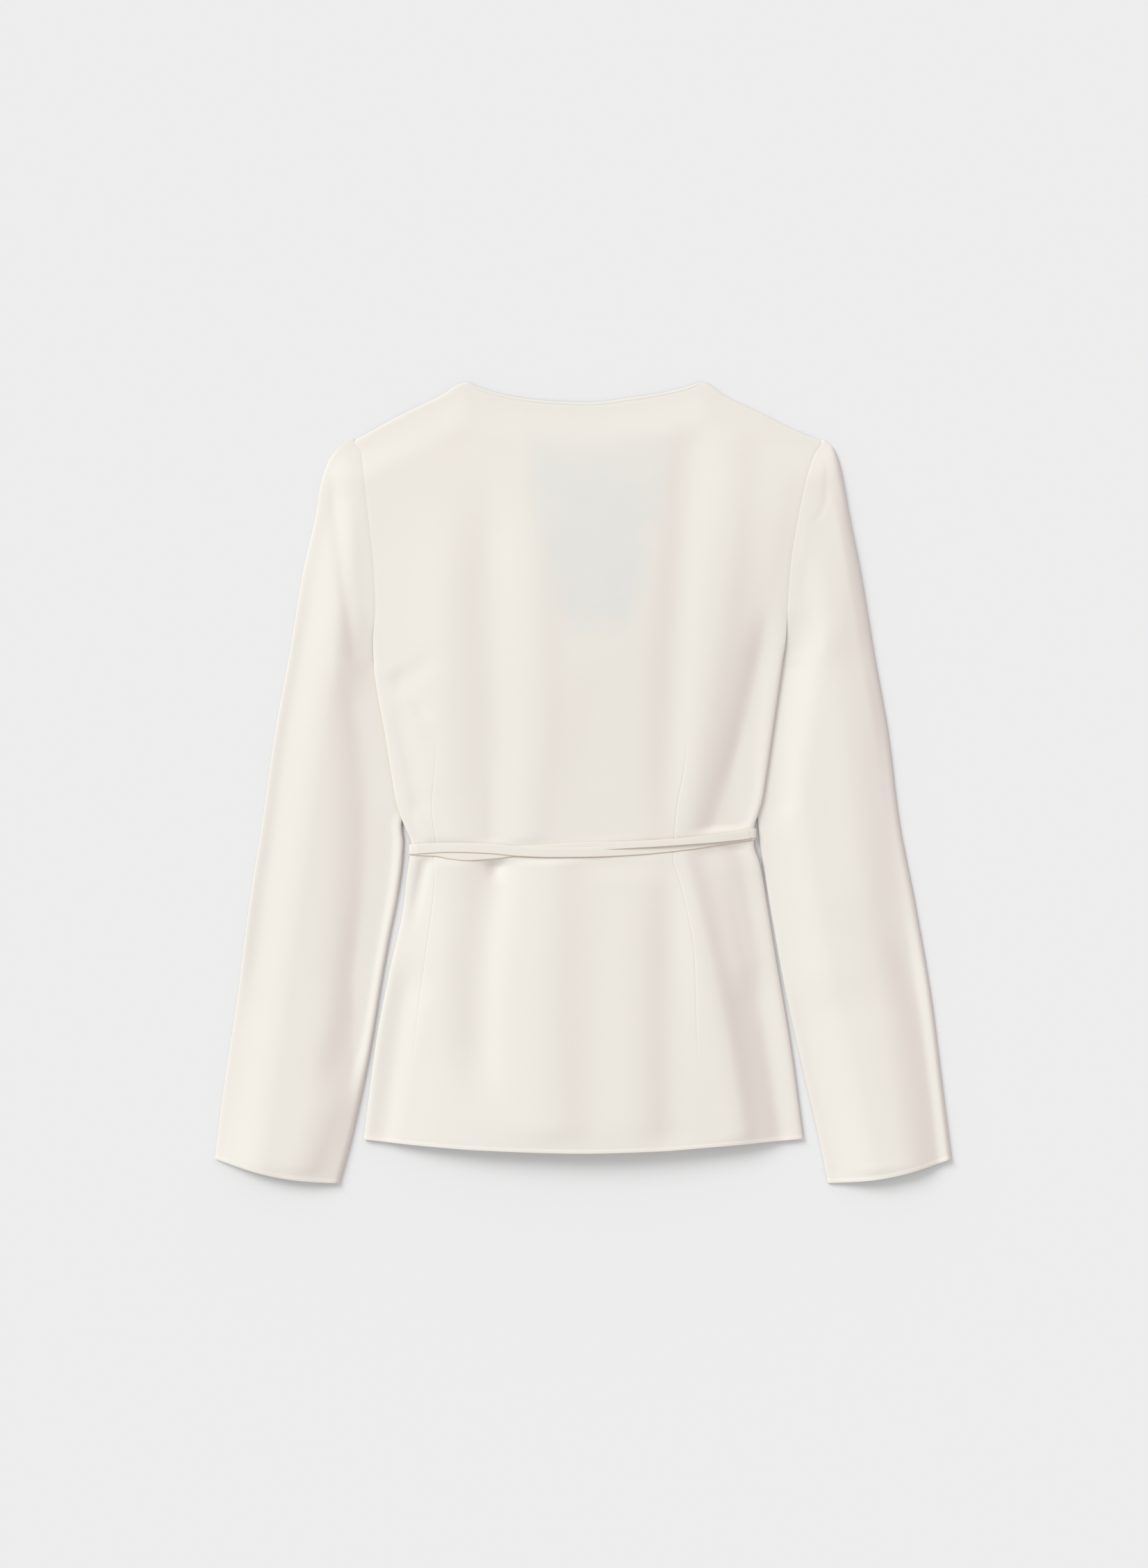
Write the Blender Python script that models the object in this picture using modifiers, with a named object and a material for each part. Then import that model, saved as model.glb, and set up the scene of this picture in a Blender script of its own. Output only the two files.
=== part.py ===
"""Wrap blouse laid face down: back panel up, sleeves beside the body, tie wound twice round the waist.

Metres, +Z up, +Y towards the neck. The tables are in millimetres from the middle of the laid garment, on
the surface that it lies on. Each piece is an open surface through its rows, given its wall by Solidify.
"""

import bpy
import numpy as np

MM = 0.001
CLOTH = 1.2
HALF = CLOTH / 2
SEAM_GAP = 0.3
LAYER = CLOTH + SEAM_GAP

BACK_NECK_Y = 307.0
SHOULDER_Y = 275.8
UNDERARM_Y = 95.5
WAIST_Y = -48.0
HEM_Y = -287.6
CUFF_Y = -323.4

FOLD_WIDTH = 4.0
WRAP_UNDER = 52.0
SHOULDER_ROLL = 12.0
TUCK_DROP = 14.0
LAP_START = 18.0
LAP_RISE = 13.0
LAP_MARGIN = 12.0
SLEEVE_UNDER = 4.4
UNDERARM_INSET = 16.0
CAP_LENGTH = 150.0
OUTER_LIFT = 5.0
OUTER_SLANT = 20.0
OUTER_DROP = 5.4
SLEEVE_FOLD = 2.1
CUFF_BOW = 4.6
TIE_WIDTH = 8.8
TIE_UPPER_UNDER = 24.0
TIE_LOWER_UNDER = 20.0
KNOT_X = 4.0
KNOT_LENGTH = 9.0
KNOT_SWELL = 2.6

IVORY = (0.87, 0.83, 0.75, 1.0)
CLOTH_ROUGHNESS = 0.42
TIE_ROUGHNESS = 0.4

# The shoulder slope and the back neck, as the highest y at each x.
TOP_EDGE = (
    ("x", "y"),
    (-185.0, 275.8),
    (-170.0, 284.5),
    (-145.0, 298.0),
    (-116.0, 312.0),
    (-94.6, 323.3),
    (-84.0, 319.0),
    (-55.0, 311.5),
    (-27.0, 308.2),
    (4.0, BACK_NECK_Y),
    (40.0, 311.0),
    (70.0, 316.0),
    (84.0, 319.5),
    (95.8, 323.3),
    (116.0, 311.5),
    (146.0, 297.0),
    (170.0, 285.0),
    (193.0, 275.8),
)

# Hem of the back, lowest in the middle.
HEM_EDGE = (
    ("x", "y"),
    (-178.0, -288.0),
    (-130.0, -292.6),
    (-80.0, -296.0),
    (0.0, -298.2),
    (60.0, -296.6),
    (104.0, -293.4),
    (178.0, -287.6),
)

# Side outline of the back, how high its edge rolls, how thick that roll is, and how high the middle lies.
BODY = (
    ("y", "left", "right", "roll_height", "roll_radius", "crown"),
    (275.8, -184.2, 192.6, 4.6, 1.5, 7.2),
    (262.0, -178.8, 186.2, 5.6, 1.5, 8.8),
    (240.5, -176.4, 179.8, 6.4, 1.5, 10.8),
    (203.0, -172.3, 171.9, 6.9, 1.5, 13.2),
    (171.0, -168.7, 166.9, 7.2, 1.5, 14.6),
    (140.0, -167.5, 164.6, 7.6, 1.5, 15.6),
    (116.0, -169.2, 163.5, 8.0, 1.5, 16.0),
    (95.5, -168.6, 160.6, 8.0, 1.5, 16.0),
    (40.0, -159.9, 152.6, 8.0, 1.5, 14.6),
    (0.0, -153.4, 146.8, 8.0, 1.5, 12.6),
    (-15.0, -150.8, 144.3, 8.0, 1.5, 11.6),
    (-26.0, -147.4, 141.0, 7.9, 1.5, 10.6),
    (-35.0, -143.8, 138.2, 5.1, 1.5, 9.8),
    (-50.0, -138.3, 137.6, 5.1, 1.5, 9.2),
    (-64.0, -140.2, 142.0, 5.1, 1.5, 9.8),
    (-80.0, -142.6, 145.3, 3.4, 1.6, 11.4),
    (-100.0, -144.8, 148.6, 2.35, 1.7, 13.2),
    (-153.0, -156.2, 157.4, 2.45, 1.8, 15.5),
    (-209.0, -166.9, 166.9, 2.45, 1.8, 17.0),
    (-287.6, -177.0, 177.5, 2.45, 1.8, 18.5),
)

# Outer edge of each sleeve, from the shoulder point to the cuff.
SLEEVE_OUTER = (
    ("y", "left", "right"),
    (281.0, -185.5, 190.0),
    (271.3, -196.0, 199.9),
    (257.9, -206.1, 206.1),
    (238.8, -212.2, 210.6),
    (216.4, -215.6, 214.5),
    (171.6, -225.7, 223.4),
    (104.4, -236.9, 234.6),
    (37.2, -249.2, 246.4),
    (-30.0, -258.7, 254.8),
    (-97.2, -269.4, 267.7),
    (-175.6, -279.4, 281.1),
    (-242.8, -289.5, 289.5),
    (-303.8, -297.2, 297.2),
)

# Inner edge of each sleeve's tube, which starts under the rolled edge of the body.
SLEEVE_INNER = (
    ("y", "left", "right"),
    (78.0, -138.0, 127.5),
    (30.0, -138.8, 131.0),
    (0.0, -141.0, 136.0),
    (-24.0, -144.4, 140.0),
    (-35.0, -146.2, 141.6),
    (-48.0, -144.8, 142.6),
    (-60.0, -145.4, 144.4),
    (-91.6, -149.6, 149.6),
    (-123.5, -155.9, 155.2),
    (-153.2, -161.3, 160.4),
    (-220.4, -172.5, 174.7),
    (-287.6, -187.0, 190.4),
    (-323.4, -196.6, 197.6),
)

# Front armhole on the underside, where the sleeve's lower layer meets the front.
ARMHOLE_UNDER = (
    ("y", "left", "right"),
    (275.8, -184.0, 192.0),
    (240.0, -161.0, 164.0),
    (200.0, -149.0, 151.0),
    (160.0, -143.5, 144.0),
    (120.0, -141.0, 135.5),
    (78.0, -138.0, 127.5),
)

# Free edge of each front: the V neck, the wrap to the other side, then the peplum's opening.
FRONT_EDGE = (
    ("y", "left", "right"),
    (275.8, -92.5, 93.5),
    (200.0, -38.0, 46.0),
    (120.0, 8.0, 8.0),
    (40.0, 41.0, -32.0),
    (-48.0, 66.0, -60.0),
    (-150.0, 76.0, -70.0),
    (-287.6, 84.0, -80.0),
)

# Height of each sleeve's upper layer, falling to its flat middle length and opened again at the cuff.
SLEEVE_HEIGHT = (
    ("y", "left", "right"),
    (275.8, 5.0, 5.0),
    (250.0, 9.0, 9.0),
    (200.0, 11.4, 11.6),
    (120.0, 10.4, 10.8),
    (40.0, 8.0, 8.2),
    (-60.0, 7.2, 7.4),
    (-180.0, 7.2, 7.4),
    (-260.0, 8.2, 9.0),
    (-323.4, 9.0, 11.0),
)

# Large folds of the back, as lines from x0, y0 down to x1, y1 that bow sideways, with how wide each is on its
# left and on its right. Troughs are below nought.
BODY_FOLDS = (
    ("x0", "y0", "x1", "y1", "bow", "left", "right", "height"),
    (-79.0, 262.0, -74.0, -44.0, -3.0, 18.0, 18.0, -2.4),
    (-50.0, 240.0, -49.0, -44.0, 0.0, 16.0, 24.0, 1.5),
    (-110.0, 235.0, -106.0, -30.0, 2.0, 16.0, 14.0, 1.3),
    (150.0, 128.0, 119.0, -42.0, 5.0, 24.0, 9.0, -3.2),
    (97.0, 290.0, 78.0, -44.0, -2.0, 9.0, 20.0, 2.0),
    (76.0, 300.0, 76.0, 110.0, 3.0, 13.0, 11.0, -1.4),
    (139.0, 262.0, 143.0, 118.0, 2.0, 14.0, 11.0, -1.6),
    (-156.0, 72.0, -117.0, 34.0, 4.0, 9.0, 9.0, -1.1),
    (-119.0, -54.0, -124.0, -200.0, 2.0, 15.0, 9.0, 2.2),
    (-74.0, -54.0, -80.0, -262.0, 2.0, 19.0, 19.0, -3.0),
    (-36.0, -66.0, -42.0, -290.0, 2.0, 15.0, 16.0, 1.3),
    (9.0, -84.0, 4.0, -306.0, 3.0, 19.0, 12.0, -1.9),
    (35.0, -74.0, 38.0, -290.0, 2.0, 12.0, 12.0, 1.2),
    (69.0, -56.0, 66.0, -300.0, 4.0, 16.0, 9.0, -2.5),
    (92.0, -60.0, 96.0, -270.0, 0.0, 9.0, 14.0, 1.8),
    (88.0, -62.0, 156.0, -300.0, 5.0, 13.0, 9.0, -3.4),
)

# Large folds of the sleeves, likewise: the cap's creases by the armhole, then the soft lengthwise ones.
LEFT_SLEEVE_FOLDS = (
    ("x0", "y0", "x1", "y1", "bow", "left", "right", "height"),
    (-203.0, 252.0, -174.0, 92.0, -6.5, 7.0, 6.0, -2.4),
    (-191.0, 240.0, -175.0, 118.0, -5.0, 6.0, 6.0, 1.2),
    (-177.0, 96.0, -202.0, -268.0, 4.0, 13.0, 9.0, -1.4),
    (-222.0, 190.0, -248.0, -200.0, -2.0, 18.0, 20.0, 1.3),
    (-208.0, -150.0, -226.0, -318.0, 2.0, 10.0, 10.0, 1.0),
)

RIGHT_SLEEVE_FOLDS = (
    ("x0", "y0", "x1", "y1", "bow", "left", "right", "height"),
    (185.5, 250.0, 160.0, 84.0, -1.0, 6.0, 6.0, -2.8),
    (196.0, 222.0, 185.0, 100.0, 1.0, 6.0, 8.0, 1.6),
    (202.0, 140.0, 226.0, -160.0, 0.0, 24.0, 24.0, 1.2),
    (214.0, -100.0, 222.0, -310.0, 2.0, 13.0, 14.0, 1.4),
    (262.0, -120.0, 278.0, -312.0, 0.0, 16.0, 10.0, -1.2),
)

# Middle line of each stretch of the tie that shows on the back.
TIE_UPPER = (
    ("x", "y"),
    (-140.0, -53.0),
    (-108.0, -52.4),
    (-60.0, -54.0),
    (-17.0, -54.6),
    (12.0, -49.8),
    (72.0, -48.4),
    (103.0, -45.4),
    (140.0, -41.0),
)

TIE_LOWER = (
    ("x", "y"),
    (-140.0, -57.6),
    (-120.0, -57.0),
    (-95.0, -58.0),
    (-54.0, -56.0),
    (-17.0, -55.8),
    (12.0, -56.0),
    (72.0, -52.6),
    (103.0, -49.6),
    (140.0, -44.6),
)

ARMHOLE_ROWS = (275.8, 264.0, 248.0, 230.0, 210.0, 190.0, 170.0, 150.0, 130.0, 112.0, UNDERARM_Y)
BODY_ROWS = (
    78.0, 60.0, 40.0, 20.0, 2.0, -14.0, -26.0, -35.0, -43.0, -51.0, -59.0, -68.0, -80.0,
    -96.0, -114.0, -134.0, -156.0, -178.0, -200.0, -222.0, -244.0, -264.0, -278.0, HEM_Y,
)
FRONT_ROWS = (275.8, 248.0, 210.0, 170.0, 130.0, 112.0, 100.0, 96.5) + BODY_ROWS
SLEEVE_TUBE_ROWS = (
    78.0, 56.0, 34.0, 12.0, -10.0, -32.0, -54.0, -80.0, -108.0, -136.0, -164.0, -192.0,
    -220.0, -246.0, -270.0, -290.0, -308.0, CUFF_Y,
)

# How each row is divided: in from the body's edge, across the back with a column at each neck point, under to
# the side seam, and round the sleeve's upper and lower layers as parts of its width from the outer edge.
ROLL_COLUMNS = np.array([0.0, 0.3, 1.0]) * FOLD_WIDTH
LEFT_NECK_POINT, RIGHT_NECK_POINT = 0.238, 0.743
BACK_COLUMNS = np.concatenate(
    [
        np.linspace(0.03, LEFT_NECK_POINT, 8),
        np.linspace(LEFT_NECK_POINT, RIGHT_NECK_POINT, 17)[1:],
        np.linspace(RIGHT_NECK_POINT, 0.97, 8)[1:],
    ]
)
TUCK_COLUMNS = np.array([WRAP_UNDER, 40.0, 26.0, 12.0, FOLD_WIDTH, 0.3 * FOLD_WIDTH])
SLEEVE_COLUMNS = np.array(
    [0.0, 0.012, 0.045, 0.12, 0.22, 0.33, 0.44, 0.56, 0.67, 0.78, 0.88, 0.955, 0.988, 1.0]
)
SLEEVE_UNDER_COLUMNS = np.array([0.012, 0.045, 0.25, 0.5, 0.75, 0.955, 0.988, 1.0])
TIE_CELLS = 27
SIGN = {"left": 1.0, "right": -1.0}


def ease(t):
    """Smooth step from 0 to 1."""
    t = np.clip(t, 0.0, 1.0)
    return t * t * (3.0 - 2.0 * t)


def read(table, name, at):
    """The named column at this place, on a fair curve that doesn't overshoot the rows."""
    rows = np.array(sorted(table[1:]))
    places, values = rows[:, 0], rows[:, table[0].index(name)]
    steps = np.diff(places)
    rises = np.diff(values) / steps
    slopes = np.concatenate([rises[:1], np.zeros(len(rises) - 1), rises[-1:]])
    alike = rises[:-1] * rises[1:] > 0
    both = rises[:-1][alike] + rises[1:][alike]
    slopes[1:-1][alike] = 2.0 * rises[:-1][alike] * rises[1:][alike] / both
    at = np.clip(np.asarray(at, float), places[0], places[-1])
    k = np.clip(np.searchsorted(places, at, side="right") - 1, 0, len(steps) - 1)
    t = (at - places[k]) / steps[k]
    rise = t * t * (3.0 - 2.0 * t)
    return (
        values[k] * (1.0 - rise)
        + values[k + 1] * rise
        + steps[k] * t * (1.0 - t) * ((1.0 - t) * slopes[k] - t * slopes[k + 1])
    )


def relief(folds, x, y):
    """Sum of the folds at these points: each fades at its ends and may lean to one side."""
    total = np.zeros(np.broadcast(x, y).shape)
    for x0, y0, x1, y1, bow, left, right, height in folds[1:]:
        length = np.hypot(x1 - x0, y1 - y0)
        ux, uy = (x1 - x0) / length, (y1 - y0) / length
        t = ((x - x0) * ux + (y - y0) * uy) / length
        aside = (y - y0) * ux - (x - x0) * uy - bow * 4.0 * t * (1.0 - t)
        ends = ease(t / 0.3) * ease((1.0 - t) / 0.3)
        total += height * ends * np.exp(-((aside / np.where(aside < 0.0, left, right)) ** 2))
    return total


def waist_band(y):
    """1 where the tie passes, 0 clear of it."""
    return 1.0 - ease((np.abs(y - WAIST_Y) - 17.0) / 16.0)


def front_height(y):
    """Middle of the lowest layer: on the surface, and lifted over the tie at the waist."""
    return HALF + 2.0 * LAYER * waist_band(y)


def back_height(x, y):
    """Middle of the back's cloth, between its rolled edges."""
    left, right = read(BODY, "left", y), read(BODY, "right", y)
    top = read(BODY, "roll_height", y) + read(BODY, "roll_radius", y)
    side = np.abs(2.0 * (x - left) / (right - left) - 1.0)
    crown = top + (read(BODY, "crown", y) - top) * (1.0 - side**2.4)
    folds = relief(BODY_FOLDS, x, y) * (1.0 - waist_band(y)) * ease((1.0 - side) / 0.12)
    shoulder = np.clip((read(TOP_EDGE, "y", x) - y) / SHOULDER_ROLL, 0.0, 1.0)
    low = HALF + LAYER
    return low + (crown + folds - low) * np.sqrt(1.0 - (1.0 - shoulder) ** 2)


def laid(x, row):
    """A row's y at each x, from its y at the side edge: bent to the shoulders above and to the hem below."""
    above = ease((row - 110.0) / (SHOULDER_Y - 110.0)) * (read(TOP_EDGE, "y", x) - SHOULDER_Y)
    below = ease((-150.0 - row) / (-150.0 - HEM_Y)) * (read(HEM_EDGE, "y", x) - HEM_Y)
    return row + above + below


def surface(name, grid, cells, roughness):
    """An object with its wall from a grid of points in millimetres, and a mask where some cells stay open."""
    rows, columns = grid.shape[:2]
    faces = [
        (r * columns + c, (r + 1) * columns + c, (r + 1) * columns + c + 1, r * columns + c + 1)
        for r in range(rows - 1)
        for c in range(columns - 1)
        if cells is None or cells[r, c]
    ]
    mesh = bpy.data.meshes.new(name)
    mesh.from_pydata((grid.reshape(-1, 3) * MM).tolist(), [], faces)
    for face in mesh.polygons:
        face.use_smooth = True
    mesh.update()
    obj = bpy.data.objects.new(name, mesh)
    blouse.objects.link(obj)
    weld = obj.modifiers.new("Seam", "WELD")
    weld.merge_threshold = 0.00001
    wall = obj.modifiers.new("Cloth", "SOLIDIFY")
    wall.thickness = CLOTH * MM
    wall.offset = 0.0
    mesh.materials.append(cloth_material(name, roughness))
    return obj


def cloth_material(name, roughness):
    material = bpy.data.materials.new(name)
    material.use_nodes = True
    shader = material.node_tree.nodes["Principled BSDF"]
    shader.inputs["Base Color"].default_value = IVORY
    shader.inputs["Roughness"].default_value = roughness
    shader.inputs["Metallic"].default_value = 0.0
    material.diffuse_color = IVORY
    return material


def back_panel():
    """The back: shoulder to hem, its sides rolled under to the side seams below the armholes."""
    rows = ARMHOLE_ROWS + BODY_ROWS
    lines = []
    for row in rows:
        left, right = read(BODY, "left", row), read(BODY, "right", row)
        height, radius = read(BODY, "roll_height", row), read(BODY, "roll_radius", row)
        inner = left + BACK_COLUMNS * (right - left)
        x = np.concatenate([left + ROLL_COLUMNS[:3], inner, right - ROLL_COLUMNS[2::-1]])
        y = laid(x, row)
        z = back_height(x, y)
        rolled = row <= UNDERARM_Y
        turn = radius * np.sqrt(1.0 - (1.0 - ROLL_COLUMNS[:2] / FOLD_WIDTH) ** 2)
        if rolled:
            z[:2] = height + turn
            z[-2:] = height + turn[::-1]
        tucked = []
        for side, edge, sign in (("left", left, 1.0), ("right", right, -1.0)):
            covered = max(0.0, sign * (read(SLEEVE_INNER, side, row) - edge)) + FOLD_WIDTH
            drop = ease((TUCK_COLUMNS - covered) / TUCK_DROP)
            low = (height - radius) * (1.0 - drop) + front_height(row) * drop
            if rolled:
                low[-1] = height - turn[1]
            under = edge + sign * TUCK_COLUMNS
            tucked.append(np.stack([under, np.full(len(under), laid(edge, row)), low], axis=1))
        lines.append(np.concatenate([tucked[0], np.stack([x, y, z], axis=1), tucked[1][::-1]]))
    grid = np.array(lines)
    cells = np.ones((len(rows) - 1, grid.shape[1] - 1), bool)
    cells[: len(ARMHOLE_ROWS) - 1, : len(TUCK_COLUMNS)] = False
    cells[: len(ARMHOLE_ROWS) - 1, -len(TUCK_COLUMNS) :] = False
    return surface("back_panel", grid, cells, CLOTH_ROUGHNESS)


def front(side):
    """One front: from the side seam to its free edge, the left one over the right one where they wrap."""
    sign = SIGN[side]
    lines = []
    for row in FRONT_ROWS:
        if row > UNDERARM_Y + CLOTH:
            start = read(ARMHOLE_UNDER, side, row) + sign * SEAM_GAP
        else:
            start = read(BODY, side, row) + sign * (WRAP_UNDER + SEAM_GAP)
        end = read(FRONT_EDGE, side, row)
        lapped = read(FRONT_EDGE, "right", row)
        if side == "left":
            before = np.linspace(start, min(lapped - LAP_START, end - LAP_MARGIN), 4)
            after = np.linspace(min(lapped - LAP_START + LAP_RISE, end - LAP_MARGIN / 2), end, 4)
            x = np.concatenate([before, after])
            lap = LAYER * ease((x - lapped + LAP_START) / LAP_RISE)
        else:
            x = np.linspace(start, end, 8)
            lap = 0.0
        y = laid(x, row)
        if row == SHOULDER_Y:
            y = y - CLOTH * ease(sign * (x - start) / SHOULDER_ROLL)
        lines.append(np.stack([x, y, front_height(y) + lap], axis=1))
    grid = np.array(lines)
    return surface(f"front_{side}", grid, None, CLOTH_ROUGHNESS)


def sleeve_ends(side, row):
    """Where a row of the sleeve starts at its outer edge, and where it ends above and below."""
    sign = SIGN[side]
    cap, cuff = ease((SHOULDER_Y - row) / CAP_LENGTH), ease((SLEEVE_TUBE_ROWS[0] - row) / 300.0)
    slant = OUTER_LIFT + OUTER_SLANT * cap - OUTER_DROP * cuff
    outer = np.array([read(SLEEVE_OUTER, side, row + slant), row + slant])
    if row <= SLEEVE_TUBE_ROWS[0]:
        inner = np.array([read(SLEEVE_INNER, side, row), row])
        return outer, inner, inner
    inset = -SEAM_GAP if row >= UNDERARM_Y else UNDERARM_INSET
    above = np.array([read(BODY, side, row) + sign * inset, row])
    return outer, above, np.array([read(ARMHOLE_UNDER, side, row), row])


def sleeve_layer(side, row, folds, columns, outer, end, over):
    """Points of one layer of a row, from the outer edge to its end above (over) or below."""
    tube = row <= SLEEVE_TUBE_ROWS[0]
    plan = outer + np.outer(columns, end - outer)
    plan[:, 1] -= CUFF_BOW * np.sin(np.pi * columns) * ease((-270.0 - row) / 50.0)
    fullness = 1.0 - np.abs(2.0 * columns - 1.0) ** 6
    if not tube:
        fullness[columns > 0.5] = 1.0
    fullness = np.sqrt(fullness)
    if over:
        height = read(SLEEVE_HEIGHT, side, row)
        z = HALF + SLEEVE_FOLD + (height - HALF - SLEEVE_FOLD) * fullness
        z = z + relief(folds, plan[:, 0], plan[:, 1]) * ease(fullness)
        if not tube:
            seam = read(BODY, "roll_height", row) + read(BODY, "roll_radius", row)
            seam = seam if row > UNDERARM_Y else SLEEVE_UNDER
            z = z + (seam - z) * ease((columns - 0.6) / 0.4)
        if row <= UNDERARM_Y:
            outside = SIGN[side] * (read(BODY, side, plan[:, 1]) - plan[:, 0])
            z = np.minimum(z, SLEEVE_UNDER + 5.0 * ease((outside - 1.0) / 16.0))
    else:
        z = HALF + SLEEVE_FOLD * (1.0 - np.minimum(1.0, 1.03 * fullness))
    return np.stack([plan[:, 0], plan[:, 1], z], axis=1)


def sleeve(side, folds):
    """One sleeve: a flattened tube open at the cuff, its cap open along the armhole."""
    lines = []
    for row in ARMHOLE_ROWS + (87.0,) + SLEEVE_TUBE_ROWS:
        outer, above, beneath = sleeve_ends(side, row)
        top = sleeve_layer(side, row, folds, SLEEVE_COLUMNS, outer, above, True)
        bottom = sleeve_layer(side, row, folds, SLEEVE_UNDER_COLUMNS, outer, beneath, False)
        # The ring runs from the armhole above, round the outer edge, to the armhole below.
        lines.append(np.concatenate([top[::-1], bottom]))
    return surface(f"sleeve_{side}", np.array(lines), None, CLOTH_ROUGHNESS)


def tie_ends(table, aside, layers, under):
    """Side turns of one line of the tie, this far aside of its middle, round each rolled edge of the body."""
    reach = layers * LAYER
    height, radius = read(BODY, "roll_height", WAIST_Y), read(BODY, "roll_radius", WAIST_Y)
    deep = np.array([under, under / 2.0, FOLD_WIDTH, ROLL_COLUMNS[1], 0.0, ROLL_COLUMNS[1]])
    rise = np.array([-1.0, -1.0, -1.0, -0.71, 0.0, 0.71])
    turns = []
    for side in ("left", "right"):
        y = read(table, "y", read(BODY, side, WAIST_Y)) + aside
        x = read(BODY, side, y) + SIGN[side] * (deep - reach * np.sqrt(1.0 - rise**2))
        turns.append(np.stack([x, np.full(len(x), y), height + rise * (radius + reach)], axis=1))
    return turns[0], turns[1][::-1]


def tie_stretch(name, table, layers, under):
    """One pass of the tie over the back, round both sides and a little way under."""
    start, stop = read(BODY, "left", WAIST_Y) + FOLD_WIDTH, read(BODY, "right", WAIST_Y) - FOLD_WIDTH
    x = np.linspace(start, stop, TIE_CELLS)
    lines = []
    for aside in (-TIE_WIDTH / 2, 0.0, TIE_WIDTH / 2):
        left, right = tie_ends(table, aside, layers, under)
        y = read(table, "y", x) + aside
        over = np.stack([x, y, back_height(x, y) + layers * LAYER], axis=1)
        lines.append(np.concatenate([left, over, right]))
    return surface(name, np.stack(lines, axis=1), None, TIE_ROUGHNESS)


def tie_front():
    """The stretch of tie that the front hides: flat on the surface, with a flat knot in the middle."""
    left_y, right_y = (read(TIE_UPPER, "y", read(BODY, side, WAIST_Y)) for side in ("left", "right"))
    start = read(BODY, "left", left_y) + TIE_UPPER_UNDER + SEAM_GAP
    stop = read(BODY, "right", right_y) - TIE_UPPER_UNDER - SEAM_GAP
    x = np.linspace(start, stop, TIE_CELLS)
    y = left_y + (right_y - left_y) * (x - start) / (stop - start)
    half = TIE_WIDTH / 2 + KNOT_SWELL * np.exp(-(((x - KNOT_X) / KNOT_LENGTH) ** 4))
    lines = [np.stack([x, y + side * half, np.full(len(x), HALF)], axis=1) for side in (-1.0, 0.0, 1.0)]
    return surface("tie_front", np.stack(lines, axis=1), None, TIE_ROUGHNESS)


for leftover in list(bpy.data.objects):
    bpy.data.objects.remove(leftover)

blouse = bpy.data.collections.new("blouse")
bpy.context.scene.collection.children.link(blouse)

back_panel()
front("left")
front("right")
sleeve("left", LEFT_SLEEVE_FOLDS)
sleeve("right", RIGHT_SLEEVE_FOLDS)
tie_stretch("tie_upper", TIE_UPPER, 2, TIE_UPPER_UNDER)
tie_stretch("tie_lower", TIE_LOWER, 1, TIE_LOWER_UNDER)
tie_front()
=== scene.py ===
import math

import bpy
import numpy as np
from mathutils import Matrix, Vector


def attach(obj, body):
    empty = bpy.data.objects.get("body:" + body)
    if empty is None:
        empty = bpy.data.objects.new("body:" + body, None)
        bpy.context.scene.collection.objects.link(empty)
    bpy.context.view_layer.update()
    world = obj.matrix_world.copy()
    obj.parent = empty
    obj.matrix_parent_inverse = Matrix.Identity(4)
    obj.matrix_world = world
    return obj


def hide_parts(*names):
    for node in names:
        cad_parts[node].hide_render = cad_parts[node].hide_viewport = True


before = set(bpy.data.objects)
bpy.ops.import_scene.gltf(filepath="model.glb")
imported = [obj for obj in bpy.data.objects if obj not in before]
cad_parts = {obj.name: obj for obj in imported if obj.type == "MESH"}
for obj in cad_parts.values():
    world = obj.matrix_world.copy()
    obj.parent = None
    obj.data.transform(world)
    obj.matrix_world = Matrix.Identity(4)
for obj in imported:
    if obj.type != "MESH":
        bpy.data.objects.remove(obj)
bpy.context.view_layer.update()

# The setting: a seamless pale surface, one broad lamp from the upper left and an even fill round it.
# The camera looks straight down, as the photograph does, with the blouse a little right of its middle.
PIXEL = 0.00056
PHOTO_WIDTH, PHOTO_HEIGHT = 1652, 2257
BLOUSE_MIDDLE_X, BLOUSE_MIDDLE_Y = 839.0, 1126.5
CAMERA_HEIGHT = 2.6
CAMERA_REACH = 50.0
CLOTH_LEVEL = 0.006
SENSOR = 36.0
LAMP_FROM = (-0.62, 0.56, 0.55)
LAMP_STRENGTH = 1.85
LAMP_ANGLE = math.radians(30.0)
FILL_STRENGTH = 0.735
SURFACE_GREY = 0.8
SURFACE_REACH = 6.0
SURFACE_LEVEL = -0.0002


def placed(name, data):
    """A new object in the scene for this mesh, camera or lamp."""
    thing = bpy.data.objects.new(name, data)
    bpy.context.scene.collection.objects.link(thing)
    return thing


camera = placed("camera", bpy.data.cameras.new("camera"))
camera.data.sensor_fit = "VERTICAL"
camera.data.sensor_height = SENSOR
camera.data.lens = SENSOR * CAMERA_HEIGHT / (PHOTO_HEIGHT * PIXEL)
camera.data.clip_end = CAMERA_REACH
camera.location = (
    (PHOTO_WIDTH / 2 - BLOUSE_MIDDLE_X) * PIXEL,
    (BLOUSE_MIDDLE_Y - PHOTO_HEIGHT / 2) * PIXEL,
    CAMERA_HEIGHT + CLOTH_LEVEL,
)
bpy.context.scene.camera = camera
bpy.context.scene.view_settings.view_transform = "Standard"

lamp = placed("lamp", bpy.data.lights.new("lamp", "SUN"))
lamp.data.energy = LAMP_STRENGTH
lamp.data.angle = LAMP_ANGLE
lamp.rotation_euler = (-Vector(LAMP_FROM)).to_track_quat("-Z", "Y").to_euler()

world = bpy.data.worlds.new("fill")
world.use_nodes = True
world.node_tree.nodes["Background"].inputs["Color"].default_value = (1.0, 1.0, 1.0, 1.0)
world.node_tree.nodes["Background"].inputs["Strength"].default_value = FILL_STRENGTH
bpy.context.scene.world = world

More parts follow.
